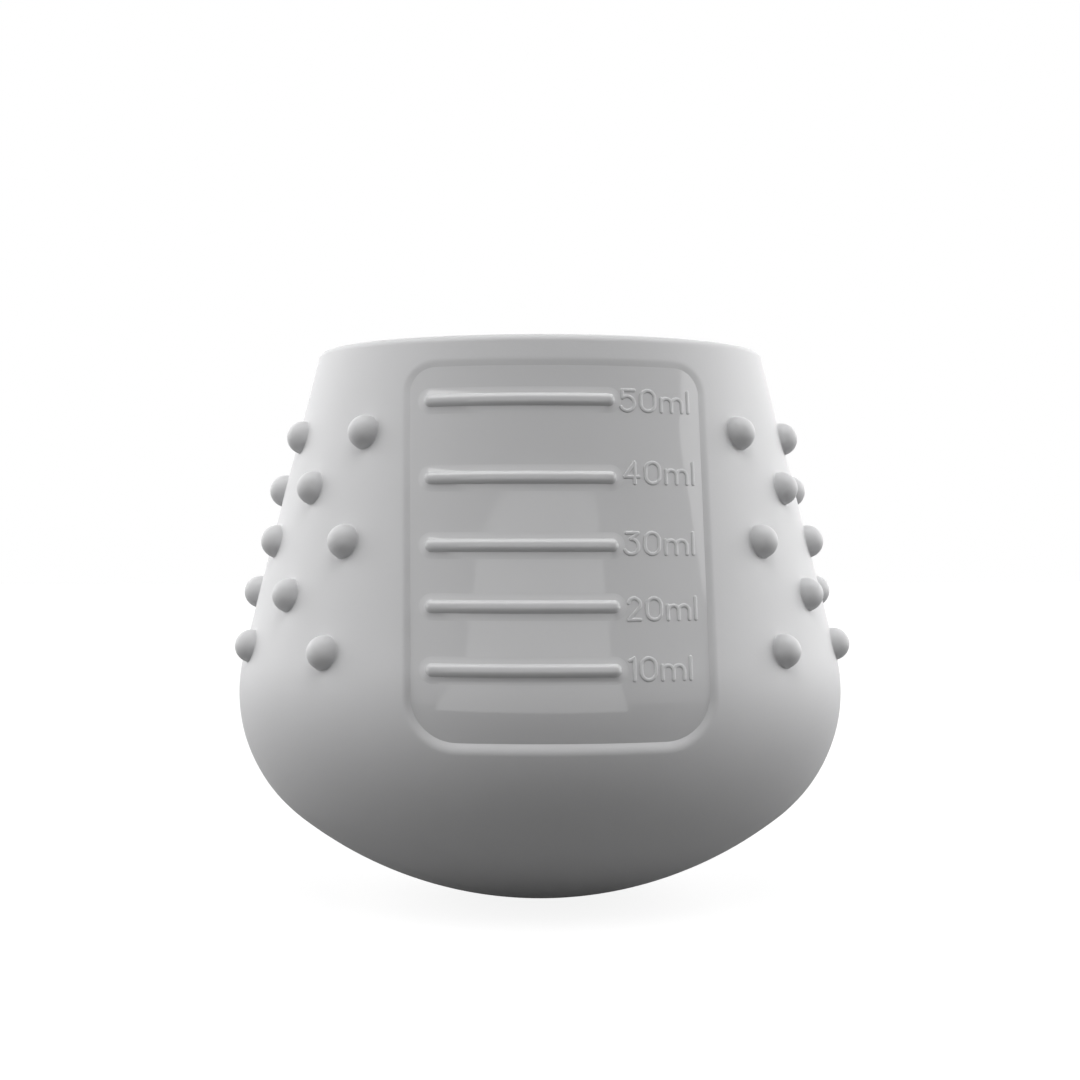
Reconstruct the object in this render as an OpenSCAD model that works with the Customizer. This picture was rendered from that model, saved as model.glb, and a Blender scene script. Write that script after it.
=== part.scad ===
// Training cup: a soft sleeve with a round underside over a weighted inner cup, with a measuring window.
// Millimetres, +Z up, the origin at the centre of the flat foot. The window faces -Y.

/* [Body] */
// Largest diameter, at the shoulder
body_d = 62; // [58:0.5:68]
// Height from the foot to the top of the lip
body_h = 55.8; // [52:0.2:64]
// Radius of the round underside
base_round = 40; // [37:0.5:50]
// Radius of the shoulder between the underside and the side
shoulder_r = 16; // [13:0.5:18]
// Lean of the side towards the axis, in degrees
side_lean = 14.2; // [10:0.1:16]
// Radius of the lip's outer edge
lip_round = 0.9; // [0.4:0.1:1.4]
// Radius of the lip's inner edge
lip_soft = 2; // [1:0.1:2.4]
// Diameter of the flat foot in the middle of the underside
foot_d = 8; // [6:0.5:12]

/* [Walls] */
// Thickness of the sleeve
sleeve_t = 2.2; // [1.9:0.1:2.8]
// Thickness of the inner cup's wall
cup_t = 1.9; // [1.5:0.1:2.6]
// Room between two pieces that fit together
fit_gap = 0.1; // [0.05:0.05:0.2]
// Height of the drinking floor above the foot
cavity_z = 16.1; // [14:0.1:20]
// Radius where the drinking floor turns up into the wall
cavity_round = 15; // [10:0.5:17]
// Depth of the inner cup's rim below the top of the lip
rim_drop = 5; // [4.5:0.5:7]
// Thickness of the tongue on the inner cup's rim
tongue_t = 0.8; // [0.6:0.1:1.2]
// Height of that tongue
tongue_h = 1.5; // [1:0.1:1.8]

/* [Weight] */
// Diameter of the weight in the base
weight_d = 36; // [26:1:40]
// Thickness of the inner cup's floor above the weight
floor_t = 3.5; // [2:0.5:6]

/* [Window] */
// Width of the measuring window
window_w = 28; // [22:0.5:31]
// Height of its lower edge above the foot
window_z = 17.9; // [16:0.1:22]
// Depth of its upper edge below the top of the lip
window_drop = 2.7; // [2.5:0.1:6]
// Radius of its upper corners
window_round = 2.8; // [2:0.1:6]
// Radius of its lower corners
window_low_round = 4.5; // [2:0.1:6]
// Depth of the pane below the sleeve's face
recess = 0.5; // [0.3:0.1:1.2]
// Width of the flange that holds the pane
flange_w = 0.8; // [0.4:0.1:1]
// Thickness of that flange
flange_t = 0.6; // [0.4:0.1:0.7]

/* [Scale] */
// Volume between two marks, in millilitres
mark_ml = 10; // [10:1:12]
// Number of marks
mark_count = 5; // [1:1:5]
// Thickness of a bar, seen from the front
bar_d = 1.1; // [0.8:0.1:1.3]
// Height of a bar above the pane
bar_h = 0.65; // [0.4:0.05:0.85]
// Length of a bar
bar_l = 17.6; // [14:0.1:18]
// Room between the window's left edge and the bars
bar_inset = 1.7; // [1:0.1:2.4]
// Height of a figure
figure_h = 2.3; // [1.8:0.1:2.8]
// Width of a figure's stroke
figure_stroke = 0.36; // [0.3:0.02:0.44]
// Height of a figure above the pane
figure_relief = 0.1; // [0.1:0.05:0.3]
// Room between a bar and its figure
figure_gap = 0.6; // [0.3:0.1:1]

/* [Bumps] */
// Radius of a grip bump
bump_r = 1.65; // [1.2:0.05:2]
// Height of the lowest row above the foot of the straight side
bump_rise = 1; // [0.5:0.1:3]
// Height from one row to the next
bump_pitch = 5.2; // [4.4:0.1:6]
// Number of rows
bump_rows = 5; // [1:1:5]
// Number of bump columns round the whole cup
bump_columns = 24; // [16:2:28]
// Angle by which the bumps of each side stand back from the window
bump_back = 0.8; // [0:0.1:2]
// Least room between a bump and the window
bump_gap = 1; // [0.6:0.1:2]

/* [Hidden] */
$fn = 96;

// Depths below the outer face: the inner cup's outside, and the drinking wall
cup_inset = sleeve_t + fit_gap;
wall_t = cup_inset + cup_t;
// Directions square to the side, and the middle of the underside's and the shoulder's arcs
side_out = [cos(side_lean), sin(side_lean)];
base_z = sqrt(base_round ^ 2 - (foot_d / 2) ^ 2);
shoulder_x = body_d / 2 - shoulder_r;
base_turn = asin(shoulder_x / (base_round - shoulder_r));
shoulder = [shoulder_x, base_z - (base_round - shoulder_r) * cos(base_turn)];
// Foot of the straight side
side_low = shoulder + shoulder_r * side_out;
// Middles of the arcs on the lip's outer and inner edges
lip_front = [side_x(body_h - lip_round, lip_round), body_h - lip_round];
lip_back = [side_x(body_h - lip_soft, wall_t - lip_soft), body_h - lip_soft];
rim_z = body_h - rim_drop;
// Depth of the tongue's two faces
tongue_front = cup_inset + (cup_t - tongue_t) / 2;
tongue_back = tongue_front + tongue_t;
// Middle of the arc round the drinking floor, and the top of that arc
bowl = [side_x(cavity_z + cavity_round, wall_t + cavity_round), cavity_z + cavity_round];
bowl_top = bowl + cavity_round * side_out;
weight_top = cavity_z - floor_t - fit_gap;
window_top = body_h - window_drop;
flange_front = sleeve_t - flange_t;
// Ends of the bars and the start of the figures, across the window
bar_from = bar_inset - window_w / 2;
bar_to = bar_from + bar_l;
figure_x = bar_to + figure_gap;
// Height of each figure's middle above its bar's, from the lowest mark up
figure_lift = [0.1, -0.2, 0.2, 0.5, 0];
// Height of a small letter and the room between two letters, as shares of a figure's height
small_share = 0.7;
letter_share = 0.12;
// Radius of the bowl in a 3 or a 5, as a share of a figure's height, and the angle where its tail ends
bowl_share = 0.3;
bowl_tail = -150;
// Reach of a cut past the face that it opens
past = 1;
// Overlap of an arc with the line or arc that it runs into, so that the two cross instead of only touching
lap = 0.002;
// Slice for measuring the drinking volume, and the cubic millimetres in a millilitre
slice = 0.05;
ml_volume = 1000;
marks = [for (i = [1:mark_count]) i * mark_ml];
shown_marks = [for (ml = marks) if (fill_z(ml) < window_top - bar_d) ml];

// Radius of the straight side at a height, at a depth below the outer face
function side_x(z, inset) = side_low.x - (z - side_low.y) * tan(side_lean) - inset / cos(side_lean);

// Is a height on the straight side, above the shoulder's arc?
function on_side(z, inset) = z > shoulder.y + (shoulder_r - inset) * side_out.y;

// Radius of the straight side or, below it, of the shoulder's arc
function skin_x(z, inset) =
    on_side(z, inset) ? side_x(z, inset) : shoulder.x + sqrt((shoulder_r - inset) ^ 2 - (z - shoulder.y) ^ 2);

// Radius of the drinking space at a height
function cavity_x(z) =
    z > bowl_top.y ? side_x(z, wall_t) : bowl.x + sqrt(max(cavity_round ^ 2 - (bowl.y - z) ^ 2, 0));

// Height to which a volume in millilitres fills the drinking space, summed slice by slice
function fill_z(ml, z = cavity_z, filled = 0) =
    filled >= ml * ml_volume || z > body_h
        ? z
        : fill_z(ml, z + slice, filled + PI * cavity_x(z + slice / 2) ^ 2 * slice);

// Half section of the whole form at a depth below the outer face, cut level at a height
module inset_section(inset, top) {
    round_r = base_round - inset;
    turn_r = shoulder_r - inset;
    low = [round_r * sin(base_turn), base_z - round_r * cos(base_turn)];
    intersection() {
        translate([0, base_z])
            circle(round_r);
        square(low);
    }
    intersection() {
        translate(shoulder)
            circle(turn_r + lap);
        square([body_d, top]);
    }
    polygon([[0, low.y], low, shoulder + turn_r * side_out, [side_x(top, inset), top], [0, top]]);
}

// Solid of that section
module form(inset) {
    rotate_extrude()
        inset_section(inset, body_h);
}

// Section of a ring between two depths and two heights on the straight side
module band(front, back, low, top) {
    polygon([
        [side_x(low, front), low],
        [side_x(top, front), top],
        [side_x(top, back), top],
        [side_x(low, back), low],
    ]);
}

// Half section of the drinking space
module cavity_section() {
    intersection() {
        translate(bowl)
            circle(cavity_round + lap);
        square([body_d, body_h]);
    }
    polygon([[0, cavity_z], [bowl.x, cavity_z], bowl_top, [side_x(body_h, wall_t), body_h], [0, body_h]]);
}

// The window's outline, grown on all sides
module window_outline(grow) {
    side = window_w / 2 + grow;
    low = window_z - grow;
    top = window_top + grow;
    low_r = window_low_round + grow;
    top_r = window_round + grow;
    translate([-side, low + low_r])
        square([2 * side, top - top_r - low - low_r]);
    translate([low_r - side, low])
        square([2 * (side - low_r), 2 * low_r]);
    translate([top_r - side, top - 2 * top_r])
        square([2 * (side - top_r), 2 * top_r]);
    for (x = [-1, 1]) {
        translate([x * (side - low_r), low + low_r])
            circle(low_r);
        translate([x * (side - top_r), top - top_r])
            circle(top_r);
    }
}

// Draws a flat shape in the XZ plane and carries it forward through the front of the cup
module forward() {
    rotate([90, 0, 0])
        linear_extrude(body_d)
            children();
}

// The window's outline, grown on all sides, between two depths below the outer face
module window_plate(grow, front, back) {
    difference() {
        intersection() {
            forward()
                window_outline(grow);
            form(front);
        }
        form(back);
    }
}

module outer_sleeve() {
    color("#b9b9ba")
        difference() {
            rotate_extrude() {
                difference() {
                    inset_section(0, rim_z);
                    inset_section(sleeve_t, rim_z + past);
                }
                difference() {
                    polygon([
                        [side_x(rim_z, 0), rim_z],
                        lip_front + lip_round * side_out,
                        [lip_front.x, body_h],
                        [lip_back.x, body_h],
                        lip_back - lip_soft * side_out,
                        [side_x(rim_z, wall_t), rim_z],
                    ]);
                    band(
                        tongue_front - fit_gap,
                        tongue_back + fit_gap,
                        rim_z - past,
                        rim_z + tongue_h + fit_gap
                    );
                }
                translate(lip_front)
                    circle(lip_round + lap);
                translate(lip_back)
                    circle(lip_soft + lap);
            }
            window_plate(0, -past, cup_inset);
            window_plate(flange_w + fit_gap, flange_front - fit_gap, cup_inset);
        }
}

module grip_bumps() {
    color("#b9b9ba")
        for (row = [0:bump_rows - 1], step = [0:bump_columns / 2 - 1]) {
            z = side_low.y + bump_rise + row * bump_pitch;
            even_turn = (2 * step + (row + 1) % 2) * 360 / bump_columns;
            turn = even_turn + bump_back * sign(sin(even_turn));
            across = abs(side_x(z, 0) * sin(turn));
            if (cos(turn) < 0 || across > window_w / 2 + bump_gap + bump_r)
                rotate(turn)
                    bump(z);
        }
}

// A ball half sunk in the front of the side, without its sunk half
module bump(z) {
    difference() {
        translate([0, -side_x(z, 0), z])
            sphere(bump_r);
        side_cone(0);
    }
}

// The straight side at a depth below the outer face, as a solid cone carried down past the side's foot
module side_cone(inset) {
    translate([0, 0, shoulder.y])
        cylinder(h = body_h - shoulder.y, r1 = side_x(shoulder.y, inset), r2 = side_x(body_h, inset));
}

module measuring_window() {
    color("#a6a6a8") {
        window_plate(-fit_gap, recess, sleeve_t);
        window_plate(flange_w, flange_front, sleeve_t);
    }
}

module scale_bars() {
    color("#b0b0b2")
        for (ml = shown_marks)
            bar(fill_z(ml));
}

// A bar with round ends and a crowned face that follows the pane at a height
module bar(z) {
    intersection() {
        rotate_extrude()
            difference() {
                translate([skin_x(z, recess), z])
                    circle(bar_h);
                inset_section(recess, body_h);
            }
        forward()
            translate([(bar_from + bar_to) / 2, z])
                rounded_bar();
    }
}

// A bar's outline, seen from the front
module rounded_bar() {
    straight = bar_l - bar_d;
    square([straight, bar_d], center = true);
    for (side = [-1, 1])
        translate([side * straight / 2, 0])
            circle(d = bar_d);
}

module scale_figures() {
    color("#b0b0b2")
        intersection() {
            window_plate(-fit_gap, recess - figure_relief, recess);
            forward()
                for (i = [0:len(shown_marks) - 1])
                    translate([figure_x, fill_z(shown_marks[i]) + figure_lift[i] - figure_h / 2])
                        figure(str(shown_marks[i], "ml"));
        }
}

// A row of letters from the left
module figure(word) {
    for (i = [0:len(word) - 1])
        translate([pen_x(word, i), 0])
            letter(word[i]);
}

function pen_x(word, i) =
    i == 0 ? 0 : pen_x(word, i - 1) + letter_w(word[i - 1]) + letter_share * figure_h;

// Width of a letter, from its share of the figure's height
function letter_w(c) =
    c == "l" ? figure_stroke
    : figure_h * (c == "m" ? 1.06 : c == "1" ? 0.34 : c == "0" || c == "4" ? 0.75 : 0.64);

// Straight stroke with round ends
module stroke(from, to) {
    way = to - from;
    translate(from)
        rotate(atan2(way.y, way.x))
            translate([0, -figure_stroke / 2])
                square([norm(way), figure_stroke]);
    for (end = [from, to])
        translate(end)
            circle(d = figure_stroke);
}

// Curved stroke with round ends, about a middle
module bow(middle, r, from, to) {
    reach = 3 * r;
    fan = 45;
    translate(middle) {
        intersection() {
            difference() {
                circle(r + figure_stroke / 2);
                circle(r - figure_stroke / 2);
            }
            polygon([
                [0, 0],
                for (turn = [from:fan:to - 1]) reach * [cos(turn), sin(turn)],
                reach * [cos(to), sin(to)],
            ]);
        }
        for (turn = [from, to])
            translate(r * [cos(turn), sin(turn)])
                circle(d = figure_stroke);
    }
}

// One letter, drawn with strokes between its low, left, right and high lines
module letter(c) {
    low = figure_stroke / 2;
    right = letter_w(c) - low;
    high = figure_h - low;
    mid = (low + right) / 2;
    if (c == "0") {
        r = mid - low;
        bow([mid, high - r], r, 0, 180);
        bow([mid, low + r], r, 180, 360);
        stroke([low, low + r], [low, high - r]);
        stroke([right, low + r], [right, high - r]);
    }
    if (c == "1") {
        stroke([right, low], [right, high]);
        stroke([right, high], [low, high - (right - low) / 2]);
    }
    if (c == "2") {
        r = mid - low;
        end = -35;
        bow([mid, high - r], r, end, 165);
        stroke([mid, high - r] + r * [cos(end), sin(end)], [low, low]);
        stroke([low, low], [right, low]);
    }
    if (c == "3") {
        r = bowl_share * figure_h;
        stroke([low, high], [right, high]);
        stroke([right, high], [right - r, low + 2 * r]);
        bow([right - r, low + r], r, bowl_tail, 90);
    }
    if (c == "4") {
        stem = low + 0.7 * (right - low);
        bar_z = low + 0.26 * figure_h;
        stroke([stem, low], [stem, high]);
        stroke([stem, high], [low, bar_z]);
        stroke([low, bar_z], [right, bar_z]);
    }
    if (c == "5") {
        r = bowl_share * figure_h;
        start = 130;
        bowl_end = [right - r, low + r] + r * [cos(start), sin(start)];
        stroke([bowl_end.x, high], [right, high]);
        stroke([bowl_end.x, high], bowl_end);
        bow([right - r, low + r], r, bowl_tail, start);
    }
    if (c == "m") {
        r = (right - low) / 4;
        spring = small_share * figure_h - low - r;
        stroke([low, low], [low, spring + r]);
        for (i = [0, 1]) {
            bow([low + (2 * i + 1) * r, spring], r, 0, 180);
            stroke([low + 2 * (i + 1) * r, low], [low + 2 * (i + 1) * r, spring]);
        }
    }
    if (c == "l")
        stroke([low, low], [low, high]);
}

module inner_cup() {
    color("#c4c4c6")
        rotate_extrude() {
            difference() {
                inset_section(cup_inset, rim_z - fit_gap);
                cavity_section();
                square([weight_d / 2 + fit_gap, weight_top + fit_gap]);
            }
            band(tongue_front, tongue_back, rim_z - fit_gap, rim_z + tongue_h);
        }
}

module base_weight() {
    color("#8d9196")
        rotate_extrude()
            intersection() {
                inset_section(cup_inset, weight_top);
                square([weight_d / 2, weight_top]);
            }
}

outer_sleeve();
grip_bumps();
measuring_window();
scale_bars();
scale_figures();
inner_cup();
base_weight();
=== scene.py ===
"""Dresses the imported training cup: sleeve, grip bumps, measuring window, scale, inner cup and weight.

All sizes are in metres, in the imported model's frame: +Z up, the foot on Z = 0, the window towards -Y.
"""

import math

import bpy
import numpy as np
from bpy.props import FloatProperty, FloatVectorProperty, IntProperty, PointerProperty
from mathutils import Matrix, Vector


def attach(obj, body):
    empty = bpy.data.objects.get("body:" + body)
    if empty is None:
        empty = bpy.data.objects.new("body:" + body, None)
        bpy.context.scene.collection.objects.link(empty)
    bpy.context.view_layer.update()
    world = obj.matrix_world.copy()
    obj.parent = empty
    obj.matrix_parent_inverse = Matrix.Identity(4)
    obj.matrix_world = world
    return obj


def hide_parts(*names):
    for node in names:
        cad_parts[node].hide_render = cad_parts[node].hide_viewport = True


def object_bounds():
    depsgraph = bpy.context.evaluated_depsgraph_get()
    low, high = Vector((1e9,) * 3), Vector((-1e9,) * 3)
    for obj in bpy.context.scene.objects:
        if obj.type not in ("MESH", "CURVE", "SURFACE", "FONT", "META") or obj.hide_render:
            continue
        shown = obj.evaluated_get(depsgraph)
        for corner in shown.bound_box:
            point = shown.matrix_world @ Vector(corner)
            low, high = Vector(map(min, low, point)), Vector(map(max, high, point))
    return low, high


bl_info = {
    "name": "Training cup",
    "version": (1, 0, 0),
    "blender": (4, 5, 0),
    "location": "3D View > Sidebar > Cup",
    "description": "Builds a training cup's pieces on its packed model, with materials and a studio",
    "category": "Add Mesh",
}

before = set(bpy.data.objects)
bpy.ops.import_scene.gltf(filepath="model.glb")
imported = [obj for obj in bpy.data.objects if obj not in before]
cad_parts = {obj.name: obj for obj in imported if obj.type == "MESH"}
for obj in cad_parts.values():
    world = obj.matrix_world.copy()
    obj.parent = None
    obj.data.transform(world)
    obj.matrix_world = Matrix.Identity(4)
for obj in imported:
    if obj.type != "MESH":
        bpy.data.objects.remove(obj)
CAD_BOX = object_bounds()

MM = 0.001
ML = 1e-6
# Depth to which raised pieces sink into what they stand on, so that no gap shows
SINK = 0.02 * MM
# Creases sharper than this, in degrees, stay sharp
CREASE = 40
SILICONE_IOR = 1.41
POLYPROPYLENE_IOR = 1.49
# Depth of the sleeve's hidden floor under the pane, as a share of the pane's depth
PANE_FLOOR = 1.35


def linear(code):
    """An sRGB hex colour as linear red, green and blue."""
    shares = [int(code[i : i + 2], 16) / 255 for i in (1, 3, 5)]
    return tuple(v / 12.92 if v <= 0.04045 else ((v + 0.055) / 1.055) ** 2.4 for v in shares)


def length(name, description, mm):
    """A length property with its default in millimetres."""
    return FloatProperty(name=name, description=description, default=mm * MM, unit="LENGTH", precision=5)


def angle(name, description, degrees):
    """An angle property with its default in degrees."""
    return FloatProperty(name=name, description=description, default=math.radians(degrees), subtype="ANGLE")


def colour(name, description, code):
    """A colour property with its default as an sRGB hex value."""
    return FloatVectorProperty(name=name, description=description, default=linear(code), subtype="COLOR")


class CupBody(bpy.types.PropertyGroup):
    """Sizes of the cup's walls."""

    diameter: length("Largest diameter", "Across the shoulder", 62)
    height: length("Height", "From the foot to the top of the lip", CAD_BOX[1].z / MM)
    base_round: length("Underside radius", "Radius of the round underside", 40)
    shoulder_r: length("Shoulder radius", "Between the underside and the side", 16)
    side_lean: angle("Side lean", "Lean of the side towards the axis", 14.2)
    lip_round: length("Lip's outer edge", "Radius of the lip's outer edge", 0.9)
    lip_soft: length("Lip's inner edge", "Radius of the lip's inner edge", 2)
    foot_d: length("Foot diameter", "Flat foot in the middle of the underside", 8)
    sleeve_t: length("Sleeve thickness", "Wall of the silicone sleeve", 2.2)
    cup_t: length("Inner cup thickness", "Wall of the inner cup", 1.9)
    fit_gap: length("Fit gap", "Room between two pieces that fit together", 0.1)
    cavity_z: length("Drinking floor", "Height of the drinking floor above the foot", 16.1)
    cavity_round: length("Floor radius", "Where the drinking floor turns up into the wall", 15)
    rim_drop: length("Rim drop", "Depth of the inner cup's rim below the top of the lip", 5)
    edge_r: length("Edge radius", "Soft edge of the sleeve and the inner cup at their seam", 0.25)
    tongue_t: length("Tongue thickness", "Tongue on the inner cup's rim", 0.8)
    tongue_h: length("Tongue height", "Height of that tongue", 1.5)
    weight_d: length("Weight diameter", "Steel weight in the base", 36)
    floor_t: length("Floor thickness", "Inner cup's floor above the weight", 3.5)


class CupWindow(bpy.types.PropertyGroup):
    """Sizes of the measuring window and its scale."""

    width: length("Width", "Width of the window", 28)
    low: length("Lower edge", "Height of the lower edge above the foot", 17.9)
    drop: length("Upper edge", "Depth of the upper edge below the top of the lip", 2.7)
    top_round: length("Upper corners", "Radius of the upper corners", 2.8)
    low_round: length("Lower corners", "Radius of the lower corners", 4.5)
    recess: length("Recess", "Depth of the pane below the sleeve's face, at its lower edge", 0.5)
    recess_top: length("Upper recess", "Depth of the pane below the sleeve's face, at its upper edge", 0.15)
    slope: length("Slope", "Width of the sloped edge round the window, seen from the front", 0.62)
    slope_low: length("Lower slope", "Width of that sloped edge along the bottom", 0.68)
    soft: FloatProperty(name="Softness", description="Rounding of the sloped edge, per width", default=0.3)
    soft_low: FloatProperty(name="Lower softness", description="The same at the lower edge", default=0.6)
    mark_ml: FloatProperty(name="Mark", description="Millilitres between two marks", default=10)
    marks: IntProperty(name="Marks", description="Number of marks", default=5)
    bar_d: length("Bar thickness", "Thickness of a bar, seen from the front", 1.2)
    bar_h: length("Bar height", "Height of a bar above the pane", 0.52)
    bar_l: length("Bar length", "Length of a bar", 17.6)
    swell: length("Swell", "Reach of the low swell of the pane round a bar", 1)
    swell_lean: angle("Swell's lean", "Steepest lean of that swell", 18)
    bar_inset: length("Bar inset", "Room between the window's left edge and the bars", 1.7)
    figure_h: length("Figure height", "Height of a figure", 2.3)
    figure_stroke: length("Figure stroke", "Width of a figure's stroke", 0.36)
    figure_relief: length("Figure relief", "Height of a figure above the pane", 0.1)
    figure_gap: length("Figure gap", "Room between a bar and its figure", 0.6)


class CupBumps(bpy.types.PropertyGroup):
    """Sizes of the grip bumps."""

    radius: length("Radius", "Radius of a bump", 1.65)
    fillet: length("Fillet", "Radius of the fillet round a bump's foot", 0.12)
    rise: length("Rise", "Height of the lowest row above the foot of the straight side", 1)
    pitch: length("Pitch", "Height from one row to the next", 5.2)
    rows: IntProperty(name="Rows", description="Number of rows", default=5)
    columns: IntProperty(name="Columns", description="Bump columns round the whole cup", default=24)
    back: angle("Stand back", "Angle by which the bumps of each side stand back from the window", 0.8)
    gap: length("Gap", "Least room between a bump and the window", 1)


class CupFinish(bpy.types.PropertyGroup):
    """Colours of the cup and its stage."""

    silicone: colour("Silicone", "Matte sleeve and bumps", "#d3d3d4")
    pane: colour("Pane", "Glossy window, bars and figures", "#d3d3d4")
    cup: colour("Inner cup", "Satin inner cup", "#dfdfe1")
    steel: colour("Steel", "Turned steel weight", "#9a9ea3")
    floor: colour("Floor", "Floor card", "#7c7c7c")


class Form:
    """The cup's half section, worked out from its sizes.

    A turn is the angle from straight down to the outward normal (sin turn, -cos turn). The underside and
    the shoulder are arcs that touch, the side is a straight line that touches the shoulder and leans in,
    and the lip is flat between two round edges. A depth is measured inwards along the normal.
    """

    def __init__(self, body):
        self.lean = body.side_lean
        self.out = np.array([math.cos(self.lean), math.sin(self.lean)])
        self.side_turn = math.pi / 2 + self.lean
        self.base_r = body.base_round
        self.base = np.array([0, math.sqrt(body.base_round**2 - (body.foot_d / 2) ** 2)])
        self.foot_turn = math.asin(body.foot_d / 2 / body.base_round)
        self.turn_r = body.shoulder_r
        reach = body.base_round - body.shoulder_r
        shoulder_x = body.diameter / 2 - body.shoulder_r
        self.base_turn = math.asin(shoulder_x / reach)
        self.shoulder = np.array([shoulder_x, self.base[1] - reach * math.cos(self.base_turn)])
        self.side_low = self.shoulder + self.turn_r * self.out
        self.cup_depth = body.sleeve_t + body.fit_gap
        self.wall_t = self.cup_depth + body.cup_t
        front_z, back_z = body.height - body.lip_round, body.height - body.lip_soft
        self.lip_front = np.array([self.side_x(front_z, body.lip_round), front_z])
        self.lip_back = np.array([self.side_x(back_z, self.wall_t - body.lip_soft), back_z])
        self.rim_z = body.height - body.rim_drop
        self.tongue_front = self.cup_depth + (body.cup_t - body.tongue_t) / 2
        self.tongue_back = self.tongue_front + body.tongue_t
        bowl_z = body.cavity_z + body.cavity_round
        self.bowl_r = body.cavity_round
        self.bowl = np.array([self.side_x(bowl_z, self.wall_t + body.cavity_round), bowl_z])

    def side_x(self, z, depth):
        """Radius of the straight side: its foot's radius, less lean times height, less the depth."""
        drop = (z - self.side_low[1]) * math.tan(self.lean)
        return self.side_low[0] - drop - depth / math.cos(self.lean)

    def at_height(self, z, depth=0.0):
        """Radius and turn at a height.

        On the shoulder the radius is middle + sqrt(r^2 - h^2), and above it that of the straight side.
        """
        arc_r = self.turn_r - depth
        lift = np.clip((z - self.shoulder[1]) / arc_r, -1, self.out[1])
        on_arc = self.shoulder[0] + arc_r * np.sqrt(1 - lift**2)
        radius = np.where(lift < self.out[1], on_arc, self.side_x(z, depth))
        return radius, math.pi / 2 + np.arcsin(lift)

    def front(self, x, z, depth=0.0, rise=0.0):
        """The point behind (x, z) in the front view, at a depth, lifted by rise along the normal there."""
        radius, turn = self.at_height(z, depth)
        swing = np.arcsin(x / radius)
        point = np.stack([x, -radius * np.cos(swing), z + 0 * x], -1)
        return point + np.asarray(rise)[..., None] * normal_of(turn, swing)


def normal_of(turn, swing):
    """Outward normal at a turn of the section, swung round the axis from the front."""
    side = np.sin(turn)
    return np.stack([side * np.sin(swing), -side * np.cos(swing), -np.cos(turn) + 0 * swing], -1)


def arc(middle, radius, start, end, count):
    """Arc of a section: middle + radius (sin turn, -cos turn), with the turns as a third column."""
    turn = np.linspace(start, end, count)
    ring = np.stack([np.sin(turn), -np.cos(turn)], -1)
    return np.column_stack([np.asarray(middle) + radius * ring, turn])


def spaced(*stretches):
    """Stations on a line: each stretch (from, to, step) in equal steps no longer than its step."""
    cuts = [np.linspace(a, b, math.ceil((b - a) / step - 1e-9) + 1)[:-1] for a, b, step in stretches]
    return np.concatenate([*cuts, [stretches[-1][1]]])


def whole_turn(count):
    """Equal angles round a whole turn, without its end."""
    return np.linspace(0, 2 * math.pi, count + 1)[:-1]


def swung(section, swing):
    """Rings of a section turned about the axis: (r sin swing, -r cos swing, z)."""
    radius, height = section[:, 0, None], section[:, 1, None]
    return np.stack([radius * np.sin(swing), -radius * np.cos(swing), height + 0 * swing], -1)


def loft(rings, start, end=None):
    """Closed skins over rings of points, with a pole at the start and a pole or a seam at the end.

    rings has the shape (skins, rings, points, 3), and start and end the shape (skins, 3). Face j, k joins
    points k and k + 1 of rings j and j + 1, and a fan joins an end ring to its pole. Without an end pole,
    the last ring is long and narrow, and points k and -k face each other across its seam.
    """
    skins, count, around = rings.shape[:3]
    ring, point = np.meshgrid(np.arange(count - 1), np.arange(around), indexing="ij")
    after = (point + 1) % around
    corners = [(ring, point), (ring, after), (ring + 1, after), (ring + 1, point)]
    quads = np.stack([j * around + k for j, k in corners], -1).reshape(-1, 4)
    k = np.arange(around)
    k_after = (k + 1) % around
    first = count * around
    last = first - around
    fans = [np.stack([np.full(around, first), k_after, k], -1)]
    poles = [start[:, None]]
    if end is None:
        k = np.arange(1, around // 2 - 1)
        quads = np.concatenate([quads, last + np.stack([k, k + 1, around - k - 1, around - k], -1)])
        tips = np.array([[0, 1, around - 1], [around // 2 - 1, around // 2, around // 2 + 1]])
        fans.append(last + tips)
    else:
        fans.append(np.stack([last + k, last + k_after, np.full(around, first + 1)], -1))
        poles.append(end[:, None])
    points = np.concatenate([rings.reshape(skins, -1, 3), *poles], 1)
    step = (np.arange(skins) * points.shape[1])[:, None, None]
    triangles = np.concatenate(fans)
    faces = (quads + step).reshape(-1, 4).tolist() + (triangles + step).reshape(-1, 3).tolist()
    return points.reshape(-1, 3), faces


def add_piece(name, node, skin, material):
    """Adds a smooth mesh at the origin that rides on the cup and stands for a CAD node."""
    points, faces = skin
    mesh = bpy.data.meshes.new(name)
    mesh.from_pydata(points.tolist(), [], faces)
    if mesh.validate():
        raise RuntimeError(f"{name} has faces that don't hold together")
    mesh.shade_smooth()
    mesh.set_sharp_from_angle(angle=math.radians(CREASE))
    mesh.materials.append(material)
    piece = bpy.data.objects.new(name, mesh)
    bpy.context.scene.collection.objects.link(piece)
    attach(piece, "root")
    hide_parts(node)


def add_node(tree, kind, values=None, links=None, **settings):
    """Adds a shader node with its settings, its sockets' values and the links into its sockets."""
    made = tree.nodes.new(kind)
    for name, value in settings.items():
        setattr(made, name, value)
    for name, value in (values or {}).items():
        made.inputs[name].default_value = value
    for name, socket in (links or {}).items():
        tree.links.new(socket, made.inputs[name])
    return made


def new_material(name):
    """An empty node material and its tree."""
    material = bpy.data.materials.new(name)
    material.use_nodes = True
    material.node_tree.nodes.clear()
    return material, material.node_tree


def ranged(tree, pattern, low, high):
    """A pattern from 0 to 1, spread from low to high."""
    spread = add_node(tree, "ShaderNodeMapRange", {"To Min": low, "To Max": high}, {"Value": pattern})
    return spread.outputs["Result"]


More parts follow.
